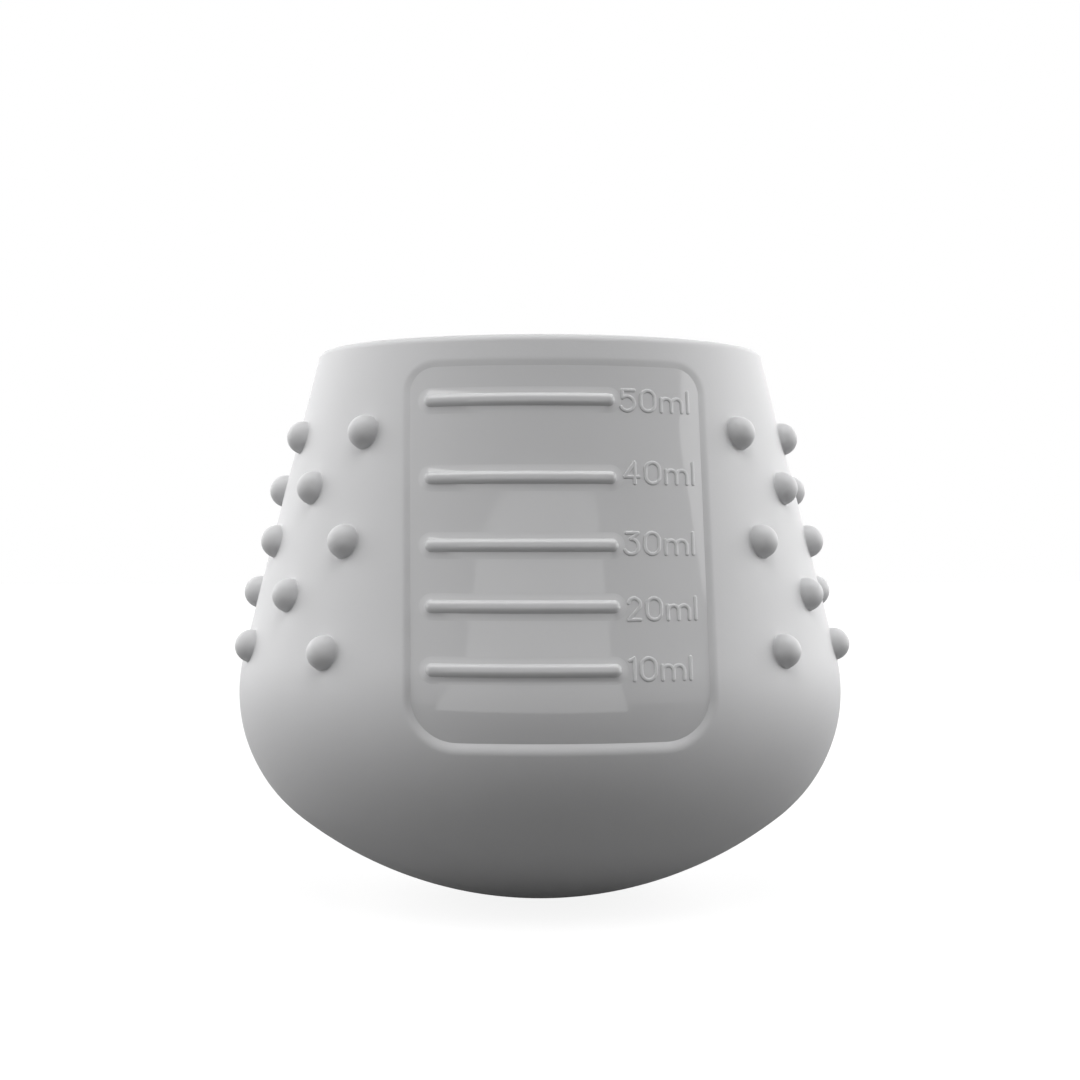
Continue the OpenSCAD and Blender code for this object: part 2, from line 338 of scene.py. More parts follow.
def mottled(tree, pattern, tone, dark):
    """A colour that runs with a pattern from its dark share of itself to itself."""
    shade = [c * dark for c in tone]
    mix = add_node(tree, "ShaderNodeMix", {6: (*shade, 1), 7: (*tone, 1)}, {0: pattern}, data_type="RGBA")
    return mix.outputs[2]


def add_surface(tree, values, links):
    """Ends a material with the principled shader."""
    surface = add_node(tree, "ShaderNodeBsdfPrincipled", values, links)
    add_node(tree, "ShaderNodeOutputMaterial", links={"Surface": surface.outputs["BSDF"]})


def soft_silicone(finish):
    """Silicone moulded against a blasted tool: matte, with a fine even grain and a faint cloudiness."""
    material, tree = new_material("matte_moulded_silicone")
    place = add_node(tree, "ShaderNodeTexCoord").outputs["Object"]
    # Clouds of pigment about 8 mm across
    cloud = add_node(tree, "ShaderNodeTexNoise", {"Scale": 1 / (8 * MM), "Detail": 2}, {"Vector": place})
    # Grain of the blasted tool, drawn 0.3 mm wide because the real one, about 0.05 mm, is too fine to show
    grain = add_node(tree, "ShaderNodeTexNoise", {"Scale": 1 / (0.3 * MM), "Detail": 2}, {"Vector": place})
    height = grain.outputs["Fac"]
    bump = add_node(tree, "ShaderNodeBump", {"Strength": 0.25, "Distance": 0.02 * MM}, {"Height": height})
    links = {
        "Base Color": mottled(tree, cloud.outputs["Fac"], finish.silicone, 0.97),
        "Roughness": ranged(tree, height, 0.5, 0.62),
        "Normal": bump.outputs["Normal"],
    }
    add_surface(tree, {"IOR": SILICONE_IOR}, links)
    return material


def gloss_silicone(finish):
    """Silicone moulded against a polished tool: glossy, with a faint waviness in its reflections."""
    material, tree = new_material("gloss_moulded_silicone")
    place = add_node(tree, "ShaderNodeTexCoord").outputs["Object"]
    # Waves of the moulded face, about 6 mm long
    wave = add_node(tree, "ShaderNodeTexNoise", {"Scale": 1 / (6 * MM), "Detail": 1}, {"Vector": place})
    height = wave.outputs["Fac"]
    bump = add_node(tree, "ShaderNodeBump", {"Strength": 0.1, "Distance": 0.02 * MM}, {"Height": height})
    links = {
        "Base Color": mottled(tree, height, finish.pane, 0.97),
        "Roughness": ranged(tree, height, 0.04, 0.07),
        "Normal": bump.outputs["Normal"],
    }
    add_surface(tree, {"IOR": SILICONE_IOR}, links)
    return material


def satin_polypropylene(finish):
    """Injection-moulded polypropylene: satin, with a slow flow pattern in its gloss."""
    material, tree = new_material("satin_polypropylene")
    place = add_node(tree, "ShaderNodeTexCoord").outputs["Object"]
    # Flow marks of the mould, about 5 mm across
    noise = add_node(tree, "ShaderNodeTexNoise", {"Scale": 1 / (5 * MM), "Detail": 3}, {"Vector": place})
    flow = noise.outputs["Fac"]
    links = {
        "Base Color": mottled(tree, flow, finish.cup, 0.96),
        "Roughness": ranged(tree, flow, 0.28, 0.4),
    }
    add_surface(tree, {"IOR": POLYPROPYLENE_IOR}, links)
    return material


def turned_steel(finish):
    """Steel faced on a lathe: fine rings about the axis that change its gloss."""
    material, tree = new_material("turned_steel")
    place = add_node(tree, "ShaderNodeTexCoord").outputs["Object"]
    # Tool rings 0.4 mm apart about the cup's axis, where the wave node repeats every 2 pi / (20 scale)
    rings = add_node(
        tree,
        "ShaderNodeTexWave",
        {"Scale": 2 * math.pi / 20 / (0.4 * MM), "Distortion": 0.4},
        {"Vector": place},
        wave_type="RINGS",
        rings_direction="Z",
    )
    links = {"Roughness": ranged(tree, rings.outputs["Fac"], 0.25, 0.45)}
    add_surface(tree, {"Base Color": (*finish.steel, 1), "Metallic": 1}, links)
    return material


def studio_floor(finish):
    """Grey floor card that takes a soft shadow. It glows near white for the camera, faintly for the cup."""
    material, tree = new_material("studio_floor_card")
    ray = add_node(tree, "ShaderNodeLightPath")
    glow = ranged(tree, ray.outputs["Is Camera Ray"], 0.05, 0.88)
    white = add_node(tree, "ShaderNodeEmission", links={"Strength": glow})
    matt = add_node(tree, "ShaderNodeBsdfDiffuse", {"Color": (*finish.floor, 1)})
    both = add_node(
        tree, "ShaderNodeAddShader", links={0: matt.outputs["BSDF"], 1: white.outputs["Emission"]}
    )
    add_node(tree, "ShaderNodeOutputMaterial", links={"Surface": both.outputs["Shader"]})
    return material


def window_distance(x, z, low, top, side, low_r, top_r):
    """Distance from the window's outline in the front view, negative inside.

    The outline is a rectangle with one radius for its lower corners and one for its upper corners. With
    q = |p - middle| - (half size - r), the distance is |max(q, 0)| + min(max(qx, qz), 0) - r.
    """
    middle = (low + top) / 2
    corner = np.where(z > middle, top_r, low_r)
    across = np.abs(x) - (side - corner)
    along = np.abs(z - middle) - ((top - low) / 2 - corner)
    outside = np.hypot(np.maximum(across, 0), np.maximum(along, 0))
    return outside + np.minimum(np.maximum(across, along), 0) - corner


def pane_depth(body, window, z):
    """Depth of the pane at a height: a straight line from the upper edge's depth to the lower edge's."""
    edges = (window.low, body.height - window.drop)
    return np.interp(z, edges, (window.recess, window.recess_top))


def soft_ramp(q, soft):
    """0 below -soft, q above +soft, and (q + soft)^2 / (4 soft) between them."""
    return np.where(q > soft, q, np.clip(q + soft, 0, None) ** 2 / (4 * soft))


def sleeve_skin(body, window):
    """The sleeve as rings about the axis: its outer section, its lip and, inside, its inner section.

    In front, each ring's points stand at fixed distances across the window, so that rows and columns run
    along the window's edges. There the face sinks by pane_depth * soft_ramp(q), where q runs from 0 to 1
    across the window's sloped edge, down to a floor under the pane, and keeps its place in the front view.
    """
    form = Form(body)
    top = body.height - window.drop
    side = window.width / 2
    fine = 0.13 * MM
    coarse = 0.6 * MM
    margin = 1.4 * MM
    low_z = form.base[1] - form.base_r * math.cos(form.base_turn)
    lip_low = form.lip_front[1] + body.lip_round * form.out[1]
    heights = spaced(
        (low_z, window.low - margin, coarse),
        (window.low - margin, window.low + window.low_round, fine),
        (window.low + window.low_round, top - window.top_round, coarse),
        (top - window.top_round, top + margin, fine),
        (top + margin, lip_low, coarse / 2),
    )
    radius, turn = form.at_height(heights)
    wall = np.column_stack([radius, heights, turn])
    foot = np.array([[body.foot_d / 4, 0, 0], [body.foot_d / 2, 0, 0]])
    base = arc(form.base, form.base_r, form.foot_turn, form.base_turn, 24)[1:-1]
    outer = np.concatenate([foot, base, wall])
    lip_front = arc(form.lip_front, body.lip_round, form.side_turn, math.pi, 16)[1:]
    lip_back = arc(form.lip_back, body.lip_soft, math.pi, form.side_turn + math.pi, 25)
    # Seam with the inner cup: a soft edge, then the groove for the tongue
    edge_z = form.rim_z + body.edge_r
    edge_x = form.side_x(edge_z, form.wall_t - body.edge_r)
    edge = arc((edge_x, edge_z), body.edge_r, form.side_turn + math.pi, 2 * math.pi, 7)
    groove_top = form.rim_z + body.tongue_h + body.fit_gap
    back, front = form.tongue_back + body.fit_gap, form.tongue_front - body.fit_gap
    groove = np.array(
        [
            [form.side_x(form.rim_z, back), form.rim_z, 0],
            [form.side_x(groove_top, back), groove_top, 0],
            [form.side_x(groove_top, front), groove_top, 0],
            [form.side_x(form.rim_z, front), form.rim_z, 0],
            [form.side_x(form.rim_z, body.sleeve_t), form.rim_z, 0],
        ]
    )
    inner_low = form.base[1] - (form.base_r - body.sleeve_t) * math.cos(form.base_turn)
    inner_z = np.linspace(form.rim_z, inner_low, 14)[1:]
    inner_wall = np.column_stack([form.at_height(inner_z, body.sleeve_t)[0], inner_z, 0 * inner_z])
    inner_base = arc(form.base, form.base_r - body.sleeve_t, form.base_turn, 0, 8)[1:-1]
    section = np.concatenate([outer, lip_front, lip_back, edge, groove, inner_wall, inner_base])

    reach = side + 3 * MM
    dense = side - window.low_round
    half = spaced((0, dense, coarse), (dense, side + margin, fine), (side + margin, reach, coarse))
    across = np.concatenate([-half[:0:-1], half])
    held = np.clip(section[:, 1], window.low - margin, top + margin)
    in_front = np.arcsin(across / form.at_height(held)[0][:, None])
    edge_swing = in_front[:, -1:]
    behind = edge_swing + np.linspace(0, 1, 82)[1:-1] * (2 * math.pi - 2 * edge_swing)
    swing = np.concatenate([in_front, behind], 1)
    rings = swung(section, swing)

    facing = rings[len(outer) - len(wall) : len(outer), : len(across)]
    x, z = facing[..., 0], facing[..., 2]
    distance = window_distance(x, z, window.low, top, side, window.low_round, window.top_round)
    lower = (window.low, window.low + window.low_round)
    slope = np.interp(z, lower, (window.slope_low, window.slope))
    soft = np.interp(z, lower, (window.soft_low, window.soft))
    sunk = np.minimum(soft_ramp(0.5 - distance / slope, soft), PANE_FLOOR) * pane_depth(body, window, z)
    facing[:] = form.front(x, z, sunk)
    inner_bottom = form.base[1] - form.base_r + body.sleeve_t
    return loft(rings[None], np.array([[0, 0, 0]]), np.array([[0, 0, inner_bottom]]))


def dome(radius, fillet):
    """Half section of a dome with a fillet round its foot, as distances from its axis and heights.

    From the foot in, it is a circle of the fillet's radius that touches the ground, then a circle of the
    dome's radius, whose middle is on the ground.
    """
    meet = math.asin(fillet / (radius + fillet))
    foot = (radius + fillet) * math.cos(meet)
    low = np.linspace(0, math.pi / 2 - meet, 7)[:-1]
    high = np.linspace(meet, math.pi / 2, 12)[:-1]
    away = np.concatenate([foot - fillet * np.sin(low), radius * np.cos(high)])
    height = np.concatenate([fillet - fillet * np.cos(low), radius * np.sin(high)])
    return away, height


def bump_skins(body, bumps, window):
    """The grip bumps as rings about each bump's own axis.

    A point at a distance from a bump's axis lies on the sleeve's skin there, lifted along the normal by
    the dome's height at that distance.
    """
    form = Form(body)
    row = np.arange(bumps.rows)[:, None]
    step = np.arange(bumps.columns // 2)[None]
    height = form.side_low[1] + bumps.rise + row * bumps.pitch + 0 * step
    even_swing = (2 * step + (row + 1) % 2) * 2 * math.pi / bumps.columns
    swing = even_swing + bumps.back * np.sign(np.round(np.sin(even_swing), 6))
    beside = np.abs(form.side_x(height, 0) * np.sin(swing)) > window.width / 2 + bumps.gap + bumps.radius
    kept = (np.cos(swing) < 0) | beside
    height, swing = height[kept], swing[kept]

    away, lift = dome(bumps.radius, bumps.fillet)
    turn = whole_turn(28)
    right = away[:, None] * np.cos(turn)
    up = away[:, None] * np.sin(turn)

    spot_z = height[:, None, None] + up * math.cos(form.lean)
    radius = form.side_x(spot_z, 0)
    spot_swing = swing[:, None, None] + right / radius
    spot = np.stack([radius * np.sin(spot_swing), -radius * np.cos(spot_swing), spot_z], -1)
    rings = spot + (lift[:, None] - SINK)[..., None] * normal_of(form.side_turn, spot_swing)
    middle_r = form.side_x(height, 0)
    middle = np.stack([middle_r * np.sin(swing), -middle_r * np.cos(swing), height], -1)
    out = normal_of(form.side_turn, swing)
    return loft(rings, middle - bumps.radius / 4 * out, middle + (bumps.radius - SINK) * out)


def pane_skin(body, window):
    """The window pane as rings that run across its front and back across its rear.

    Row z reaches from -w(z) to +w(z), the half width of the outline there, less the fit gap.
    """
    form = Form(body)
    low = window.low + body.fit_gap
    top = body.height - window.drop - body.fit_gap
    side = window.width / 2 - body.fit_gap
    low_r, top_r = window.low_round - body.fit_gap, window.top_round - body.fit_gap
    turn = np.linspace(0, math.pi / 2, 15)
    heights = np.concatenate(
        [
            low + low_r - low_r * np.cos(turn),
            spaced((low + low_r, top - top_r, 0.4 * MM))[1:-1],
            top - top_r + top_r * np.sin(turn),
        ]
    )
    dip = np.maximum(low + low_r - heights, 0)
    peak = np.maximum(heights - top + top_r, 0)
    low_cut = low_r - np.sqrt(np.maximum(low_r**2 - dip**2, 0))
    top_cut = top_r - np.sqrt(np.maximum(top_r**2 - peak**2, 0))
    half = (side - low_cut - top_cut)[:, None]
    share = np.linspace(-1, 1, 57)
    z = heights[:, None]
    face = form.front(half * share, z, pane_depth(body, window, z))
    rear = form.front(half * share[::-1], z, body.sleeve_t)
    rings = np.concatenate([face, rear], 1)
    return loft(rings[None], rings[:1].mean(1), rings[-1:].mean(1))


def beads(body, window, paths, width, rise):
    """Round-ended beads along paths in the front view of the pane.

    Each station carries an ellipse, half the width across the path and rise off the pane. Past each end
    the path runs on by half the width times sin t, while the ellipse shrinks by cos t.
    """
    form = Form(body)
    cap = np.linspace(0, math.pi / 2, 7)[1:-1]
    way = np.gradient(paths, axis=1)
    way /= np.linalg.norm(way, axis=-1, keepdims=True)
    run = width / 2 * np.sin(cap)[None, :, None]
    before = paths[:, :1] - run[:, ::-1] * way[:, :1]
    after = paths[:, -1:] + run * way[:, -1:]
    line = np.concatenate([before, paths, after], 1)
    course = np.concatenate([way[:, :1] + 0 * before, way, way[:, -1:] + 0 * after], 1)
    shrink = np.concatenate([np.cos(cap)[::-1], np.ones(paths.shape[1]), np.cos(cap)])[:, None]
    turn = whole_turn(20)
    offset = width / 2 * shrink * np.cos(turn)
    lift = rise * shrink * np.sin(turn)
    x = line[..., :1] - course[..., 1:] * offset
    z = line[..., 1:] + course[..., :1] * offset
    rings = form.front(x, z, pane_depth(body, window, z), lift + 0 * x)
    start_x, start_z = (paths[:, 0] - width / 2 * way[:, 0]).T
    end_x, end_z = (paths[:, -1] + width / 2 * way[:, -1]).T
    start = form.front(start_x, start_z, pane_depth(body, window, start_z))
    end = form.front(end_x, end_z, pane_depth(body, window, end_z))
    return loft(rings, start, end)


def mark_heights(form, body, window):
    """Heights of the marks.

    The running sum of pi r^2 dz up the drinking space is the volume, read back at each mark's volume.
    """
    z = np.linspace(body.cavity_z, body.height, 4001)
    bowl_top = form.bowl[1] + form.bowl_r * form.out[1]
    bowl_x = form.bowl[0] + np.sqrt(np.maximum(form.bowl_r**2 - (form.bowl[1] - z) ** 2, 0))
    radius = np.where(z > bowl_top, form.side_x(z, form.wall_t), bowl_x)
    area = math.pi * radius**2
    slices = (area[1:] + area[:-1]) / 2 * np.diff(z)
    filled = np.concatenate([[0], np.cumsum(slices)])
    cubic_metres = np.arange(1, window.marks + 1) * window.mark_ml * ML
    return np.interp(cubic_metres, filled, z)


def crown(side, height, swell, lean):
    """Half section of a bar, as distances from its middle line and heights above the pane.

    From outside in, the pane swells up on a circle of the radius swell / sin(lean), and a crown stands on
    it: a circle through the crease at half the bar's thickness and through the bar's full height.
    """
    swell_r = swell / math.sin(lean)
    turn = np.linspace(0, lean, 7)
    base = swell_r * (1 - math.cos(lean))
    rise = height - base
    radius = (side**2 + rise**2) / (2 * rise)
    steep = math.acos(1 - rise / radius)
    high = np.linspace(steep, math.radians(2), 13)[1:]
    away = np.concatenate([side + swell - swell_r * np.sin(turn), radius * np.sin(high)])
    lift = np.concatenate([swell_r * (1 - np.cos(turn)), height - radius * (1 - np.cos(high))])
    return away, lift


def bar_skins(body, window):
    """The bars as rings round each bar's middle line, one bar at each mark.

    Each ring is a stadium, all of it at one distance from the middle line, and lies on the pane there,
    lifted along the normal by the height of the bar's section at that distance.
    """
    form = Form(body)
    side = window.bar_d / 2
    away, lift = crown(side, window.bar_h, window.swell, window.swell_lean)
    half = window.bar_l / 2 - side
    middle_x = window.bar_inset - window.width / 2 + window.bar_l / 2
    middle_z = mark_heights(form, body, window)
    # Each ring starts at its right tip, so that points k and -k face each other across the bar
    cap = np.linspace(0, math.pi / 2, 8)
    line = np.linspace(half, -half, 50)[1:-1]
    above = np.concatenate([half + 0 * cap, line, -half + 0 * cap])
    turn_above = np.concatenate([cap, 0 * line + math.pi / 2, cap + math.pi / 2])
    base = np.concatenate([above, above[-2:0:-1]])
    turn = np.concatenate([turn_above, -turn_above[-2:0:-1]])
    x = middle_x + base + away[:, None] * np.cos(turn)
    z = middle_z[:, None, None] + away[:, None] * np.sin(turn)
    rings = form.front(x + 0 * z, z, pane_depth(body, window, z), lift[:, None] - SINK)
    start = form.front(middle_x + 0 * middle_z, middle_z, pane_depth(body, window, middle_z), -side / 2)
    return loft(rings, start)


# Points on each stroke of a figure
STROKE_POINTS = 22
# Height of each figure's middle above its bar's, in millimetres, from the lowest mark up
FIGURE_LIFT = (0.1, -0.2, 0.2, 0.5, 0)
# Shares of a figure's height: letter widths, small letters, the room between letters, and round bellies
LETTER_WIDTHS = {"m": 1.06, "1": 0.34, "0": 0.75, "4": 0.75, "2": 0.64, "3": 0.64, "5": 0.64}
SMALL_SHARE = 0.7
LETTER_GAP = 0.12
BELLY_SHARE = 0.3


def straight(start, end):
    """Straight stroke: start + t (end - start)."""
    t = np.linspace(0, 1, STROKE_POINTS)[:, None]
    return np.asarray(start) + t * (np.asarray(end) - np.asarray(start))


def bow(middle, radius, start, end):
    """Curved stroke: middle + radius (cos a, sin a), between two angles in degrees."""
    a = np.radians(np.linspace(start, end, STROKE_POINTS))
    return np.asarray(middle) + radius * np.stack([np.cos(a), np.sin(a)], -1)


def letter_width(letter, height, stroke):
    """Width of a letter: a stroke for l, and otherwise its share of the height."""
    return stroke if letter == "l" else LETTER_WIDTHS[letter] * height


def letter_strokes(letter, height, stroke):
    """Strokes of one letter, drawn between its low, left, right and high middle lines."""
    low = stroke / 2
    right = letter_width(letter, height, stroke) - low
    high = height - low
    mid = (low + right) / 2
    if letter == "0":
        r = mid - low
        return [
            bow((mid, high - r), r, 0, 180),
            bow((mid, low + r), r, 180, 360),
            straight((low, low + r), (low, high - r)),
            straight((right, low + r), (right, high - r)),
        ]
    if letter == "1":
        flag = (low, high - (right - low) / 2)
        return [straight((right, low), (right, high)), straight((right, high), flag)]
    if letter == "2":
        r = mid - low
        turn = bow((mid, high - r), r, -35, 165)
        return [turn, straight(turn[0], (low, low)), straight((low, low), (right, low))]
    if letter == "3":
        r = BELLY_SHARE * height
        return [
            straight((low, high), (right, high)),
            straight((right, high), (right - r, low + 2 * r)),
            bow((right - r, low + r), r, -150, 90),
        ]
    if letter == "4":
        stem = low + 0.7 * (right - low)
        bar = low + 0.26 * height
        return [
            straight((stem, low), (stem, high)),
            straight((stem, high), (low, bar)),
            straight((low, bar), (right, bar)),
        ]
    if letter == "5":
        r = BELLY_SHARE * height
        belly = bow((right - r, low + r), r, -150, 130)
        start = belly[-1]
        return [straight((start[0], high), (right, high)), straight((start[0], high), start), belly]
    if letter == "m":
        r = (right - low) / 4
        spring = SMALL_SHARE * height - low - r
        return [
            straight((low, low), (low, spring + r)),
            bow((low + r, spring), r, 0, 180),
            straight((low + 2 * r, low), (low + 2 * r, spring)),
            bow((low + 3 * r, spring), r, 0, 180),
            straight((right, low), (right, spring)),
        ]
    return [straight((low, low), (low, high))]


def figure_paths(form, body, window):
    """Strokes of the figures in the front view, beside each bar."""
    size, stroke = window.figure_h, window.figure_stroke
    left = window.bar_inset - window.width / 2 + window.bar_l + window.figure_gap
    paths = []
    for i, z in enumerate(mark_heights(form, body, window)):
        pen = np.array([left, z + FIGURE_LIFT[i] * MM - size / 2])
        for letter in f"{window.mark_ml * (i + 1):.0f}ml":
            paths += [path + pen for path in letter_strokes(letter, size, stroke)]
            pen[0] += letter_width(letter, size, stroke) + LETTER_GAP * size
    return np.stack(paths)


def inner_cup_skin(body):
    """The inner cup as rings about the axis, from the weight's pocket over the rim to the drinking floor."""
    form = Form(body)
    rim = form.rim_z - body.fit_gap
    edge_z = rim - body.edge_r
    floor = np.array([[form.bowl[0] / 2, body.cavity_z], [form.bowl[0], body.cavity_z]])
    bowl = arc(form.bowl, form.bowl_r, 0, form.side_turn, 40)[1:, :2]
    wall_z = np.linspace(bowl[-1, 1], edge_z, 12)[1:-1]
    wall = np.column_stack([form.side_x(wall_z, form.wall_t), wall_z])
    edge_x = form.side_x(edge_z, form.wall_t - body.edge_r)
    edge = arc((edge_x, edge_z), body.edge_r, form.side_turn + math.pi, math.pi, 7)[:, :2]
    tongue_top = form.rim_z + body.tongue_h
    tongue = np.array(
        [
            [form.side_x(rim, form.tongue_back), rim],
            [form.side_x(tongue_top, form.tongue_back), tongue_top],
            [form.side_x(tongue_top, form.tongue_front), tongue_top],
            [form.side_x(rim, form.tongue_front), rim],
            [form.side_x(rim, form.cup_depth), rim],
        ]
    )
    outer_r = form.base_r - form.cup_depth
    outside_z = np.linspace(rim, form.base[1] - outer_r * math.cos(form.base_turn), 24)[1:]
    outside = np.column_stack([form.at_height(outside_z, form.cup_depth)[0], outside_z])
    pocket_r = body.weight_d / 2 + body.fit_gap
    pocket_z = body.cavity_z - body.floor_t
    base = arc(form.base, outer_r, form.base_turn, math.asin(pocket_r / outer_r), 4)[1:, :2]
    pocket = np.array([[pocket_r, pocket_z], [pocket_r / 2, pocket_z]])
    # The rings run from the pocket out and up, so that the faces look outwards
    section = np.concatenate([floor, bowl, wall, edge, tongue, outside, base, pocket])[::-1]
    rings = swung(section, whole_turn(144)[None] + np.zeros((len(section), 1)))
    return loft(rings[None], np.array([[0, 0, pocket_z]]), np.array([[0, 0, body.cavity_z]]))


class CUP_OT_sleeve(bpy.types.Operator):
    """Build the silicone sleeve with its lip and its window opening"""

    bl_idname = "cup.sleeve"
    bl_label = "Outer sleeve"

    def execute(self, context):
        scene = context.scene
        skin = sleeve_skin(scene.cup_body, scene.cup_window)
        add_piece("sleeve", "outer_sleeve", skin, soft_silicone(scene.cup_finish))
        return {"FINISHED"}


class CUP_OT_bumps(bpy.types.Operator):
    """Build the grip bumps on the sleeve's sides and back"""

    bl_idname = "cup.bumps"
    bl_label = "Grip bumps"

    def execute(self, context):
        scene = context.scene
        skin = bump_skins(scene.cup_body, scene.cup_bumps, scene.cup_window)
        material = bpy.data.materials["matte_moulded_silicone"]
        add_piece("bumps", "grip_bumps", skin, material)
        return {"FINISHED"}


class CUP_OT_window(bpy.types.Operator):
    """Build the glossy measuring window"""

    bl_idname = "cup.window"
    bl_label = "Measuring window"

    def execute(self, context):
        scene = context.scene
        skin = pane_skin(scene.cup_body, scene.cup_window)
        add_piece("pane", "measuring_window", skin, gloss_silicone(scene.cup_finish))
        return {"FINISHED"}


class CUP_OT_bars(bpy.types.Operator):
    """Build the raised bars of the scale"""

    bl_idname = "cup.bars"
    bl_label = "Scale bars"

    def execute(self, context):
        scene = context.scene
        skin = bar_skins(scene.cup_body, scene.cup_window)
        material = bpy.data.materials["gloss_moulded_silicone"]
        add_piece("bars", "scale_bars", skin, material)
        return {"FINISHED"}


class CUP_OT_figures(bpy.types.Operator):
    """Build the raised figures beside the bars"""

    bl_idname = "cup.figures"
    bl_label = "Scale figures"

    def execute(self, context):
        scene = context.scene
        window = scene.cup_window
        paths = figure_paths(Form(scene.cup_body), scene.cup_body, window)
        skin = beads(scene.cup_body, window, paths, window.figure_stroke, window.figure_relief)
        material = bpy.data.materials["gloss_moulded_silicone"]
        add_piece("figures", "scale_figures", skin, material)
        return {"FINISHED"}


class CUP_OT_inner_cup(bpy.types.Operator):
    """Build the inner cup with its drinking space"""

    bl_idname = "cup.inner_cup"
    bl_label = "Inner cup"

    def execute(self, context):
        scene = context.scene
        skin = inner_cup_skin(scene.cup_body)
        add_piece("drinking_cup", "inner_cup", skin, satin_polypropylene(scene.cup_finish))
        return {"FINISHED"}


class CUP_OT_weight(bpy.types.Operator):
    """Finish the steel weight in the base, whose CAD shape stays"""

    bl_idname = "cup.weight"
    bl_label = "Base weight"

    def execute(self, context):
        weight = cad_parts["base_weight"]
        weight.data.materials.clear()
        weight.data.materials.append(turned_steel(context.scene.cup_finish))
        return {"FINISHED"}


# Lamps: swing from the front, rise above the floor and spread, in degrees, and strength
LAMPS = {
    "front_softbox": (0, 60, 40, 0.38),
    "left_softbox": (-90, 29, 50, 0.53),
    "left_rear_softbox": (-135, 16, 40, 0.44),
    "right_softbox": (90, 29, 50, 0.53),
    "right_rear_softbox": (135, 16, 40, 0.44),
}
SIDE_CARD = ((-0.267, 0), (0.4, 0), (0.4, 0.34), (-0.267, 0.34))
# The pane shows this card as a bell with a round top
LENS_CARD = (
    (-0.195, 0),
    (0.113, 0),
    (0.086, 0.151),
    (0.05, 0.1545),
    (-0.02, 0.1565),
    (-0.09, 0.1545),
    (-0.127, 0.151),
)
# Cards: the axis each one is square to, its place on that axis, its corners on the other two, and strength
CARDS = {
    "overhead_card": (2, 0.5, ((-0.5, -0.2), (-0.5, 0.1), (0.5, 0.1), (0.5, -0.2)), 5),
    "rear_card": (1, 0.45, ((-0.7, 0.02), (0.7, 0.02), (0.7, 0.4), (-0.7, 0.4)), 2),
    "left_card": (0, -0.6, SIDE_CARD, 1.4),
    "right_card": (0, 0.6, SIDE_CARD, 3.4),
    "lens_card": (1, -0.225, LENS_CARD, 2.4),
}
FLOOR_REACH = 1.5
# The photograph's eye: level, and turned to the cup's axis from a little to the left
EYE_SWING = math.radians(-4)
EYE_REACH = 215.1 * MM
EYE_HEIGHT = 36.53 * MM
# The photograph's side and focal length, in pixels
PHOTO_SIDE = 1080
PHOTO_FOCAL = 2065
SENSOR_MM = 36


def add_lamp(name, swing, rise, spread, strength):
    """A broad far lamp at a swing from the front and a rise above the floor.

    A strength of 1 lights a white face square to the lamp to full white. In reflections the cards stand
    for the lamps.
    """
    data = bpy.data.lights.new(name, "SUN")
    data.energy = math.pi * strength
    data.angle = math.radians(spread)
    lamp = bpy.data.objects.new(name, data)
    lamp.rotation_euler = (math.radians(90 - rise), 0, math.radians(swing))
    lamp.visible_glossy = False
    bpy.context.scene.collection.objects.link(lamp)


def add_sheet(name, corners, material):
    """A flat sheet with its corners in order."""
    mesh = bpy.data.meshes.new(name)
    mesh.from_pydata(corners, [], [range(len(corners))])
    mesh.materials.append(material)
    sheet = bpy.data.objects.new(name, mesh)
    bpy.context.scene.collection.objects.link(sheet)
    return sheet


def add_card(name, axis, place, outline, strength):
    """A glowing reflector card square to an axis, seen in reflections alone."""
    material, tree = new_material(name)
    glow = add_node(tree, "ShaderNodeEmission", {"Strength": strength})
    add_node(tree, "ShaderNodeOutputMaterial", links={"Surface": glow.outputs["Emission"]})
    card = add_sheet(name, [(*corner[:axis], place, *corner[axis:]) for corner in outline], material)
    card.visible_camera = False
    card.visible_diffuse = False
    card.visible_shadow = False


def white_surroundings():
    """A white world that the camera and the reflections see, and that lights nothing."""
    world = bpy.data.worlds.new("white_studio")
    world.use_nodes = True
    tree = world.node_tree
    tree.nodes.clear()
    ray = add_node(tree, "ShaderNodeLightPath")
    seen = add_node(
        tree,
        "ShaderNodeMath",
        links={0: ray.outputs["Is Camera Ray"], 1: ray.outputs["Is Glossy Ray"]},
        operation="MAXIMUM",
    )
    links = {"Strength": seen.outputs["Value"]}
    sky = add_node(tree, "ShaderNodeBackground", {"Color": (1, 1, 1, 1)}, links)
    add_node(tree, "ShaderNodeOutputWorld", links={"Surface": sky.outputs["Background"]})
    return world


def add_camera():
    """The photograph's camera."""
    data = bpy.data.cameras.new("photo_camera")
    data.sensor_width = SENSOR_MM
    data.lens = PHOTO_FOCAL / PHOTO_SIDE * SENSOR_MM
    data.clip_start = 10 * MM
    camera = bpy.data.objects.new("photo_camera", data)
    camera.location = (EYE_REACH * math.sin(EYE_SWING), -EYE_REACH * math.cos(EYE_SWING), EYE_HEIGHT)
    camera.rotation_euler = (math.pi / 2, 0, EYE_SWING)
    bpy.context.scene.collection.objects.link(camera)
    return camera


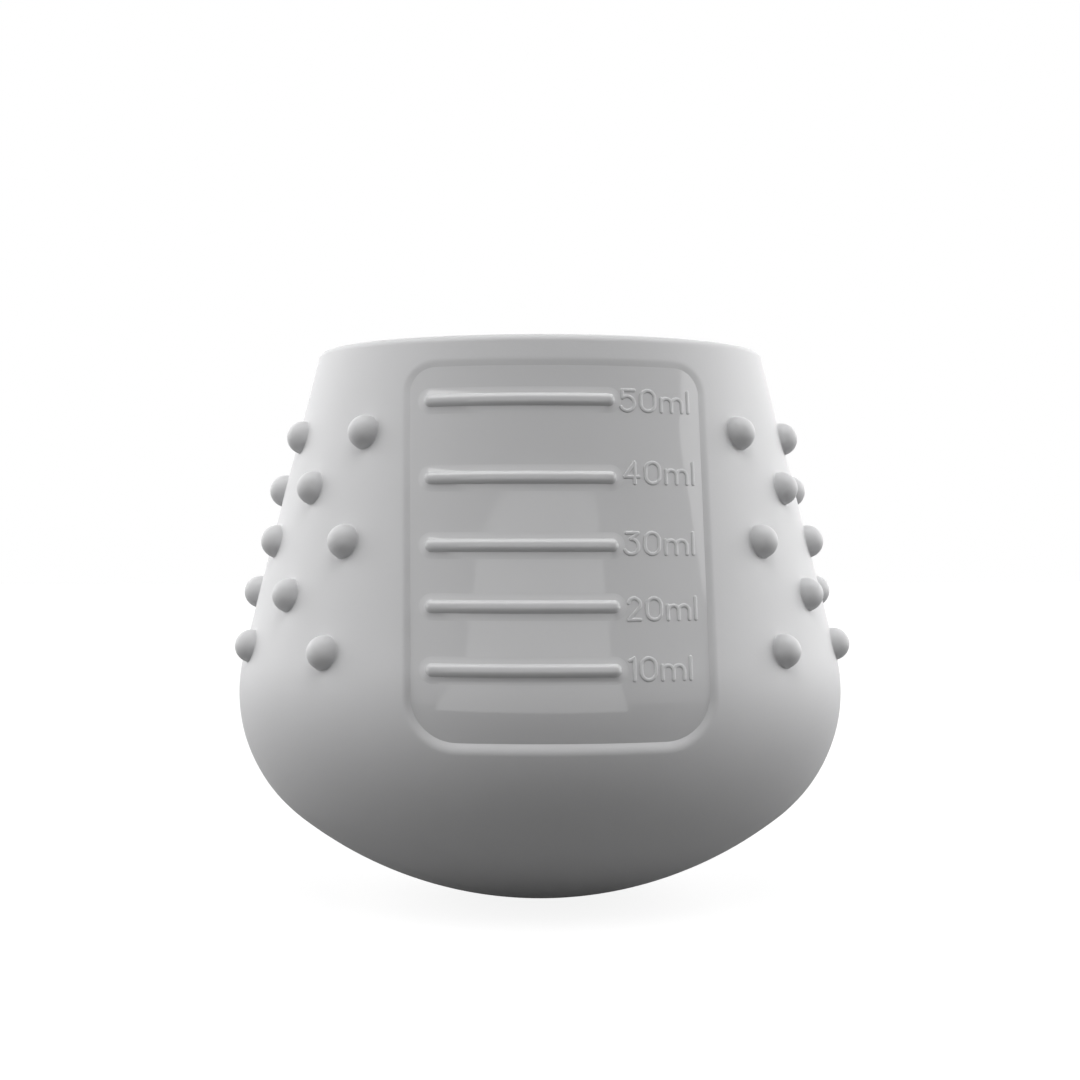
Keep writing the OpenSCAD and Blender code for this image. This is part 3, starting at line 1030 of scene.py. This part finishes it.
class CUP_OT_stage(bpy.types.Operator):
    """Set up the floor, the soft lamps, the white surroundings and the photograph's camera"""

    bl_idname = "cup.stage"
    bl_label = "Stage"

    def execute(self, context):
        scene = context.scene
        signs = ((-1, -1), (1, -1), (1, 1), (-1, 1))
        corners = [(x * FLOOR_REACH, y * FLOOR_REACH, 0) for x, y in signs]
        add_sheet("floor", corners, studio_floor(scene.cup_finish))
        for name, lamp in LAMPS.items():
            add_lamp(name, *lamp)
        for name, card in CARDS.items():
            add_card(name, *card)
        scene.world = white_surroundings()
        scene.camera = add_camera()
        scene.view_settings.view_transform = "Standard"
        return {"FINISHED"}


class CUP_PT_panel(bpy.types.Panel):
    """Sizes, colours and steps of the training cup"""

    bl_idname = "CUP_PT_panel"
    bl_label = "Training cup"
    bl_space_type = "VIEW_3D"
    bl_region_type = "UI"
    bl_category = "Cup"

    def draw(self, context):
        for name in ("cup_body", "cup_window", "cup_bumps", "cup_finish"):
            group = getattr(context.scene, name)
            box = self.layout.box()
            for key in group.__annotations__:
                box.prop(group, key)
        for step in STEPS:
            self.layout.operator(step.bl_idname)


GROUPS = {"cup_body": CupBody, "cup_window": CupWindow, "cup_bumps": CupBumps, "cup_finish": CupFinish}
STEPS = (
    CUP_OT_stage,
    CUP_OT_sleeve,
    CUP_OT_bumps,
    CUP_OT_window,
    CUP_OT_bars,
    CUP_OT_figures,
    CUP_OT_inner_cup,
    CUP_OT_weight,
)


def register():
    """Registers the groups, the steps and the panel."""
    for kind in (*GROUPS.values(), *STEPS, CUP_PT_panel):
        bpy.utils.register_class(kind)
    for name, kind in GROUPS.items():
        setattr(bpy.types.Scene, name, PointerProperty(type=kind))


def unregister():
    """Takes out what register put in, last first."""
    for name in GROUPS:
        delattr(bpy.types.Scene, name)
    for kind in (CUP_PT_panel, *reversed(STEPS), *GROUPS.values()):
        bpy.utils.unregister_class(kind)


def main():
    """Builds the cup and its stage."""
    register()
    bpy.ops.cup.stage()
    bpy.ops.cup.sleeve()
    bpy.ops.cup.bumps()
    bpy.ops.cup.window()
    bpy.ops.cup.bars()
    bpy.ops.cup.figures()
    bpy.ops.cup.inner_cup()
    bpy.ops.cup.weight()


if __name__ == "__main__":
    main()
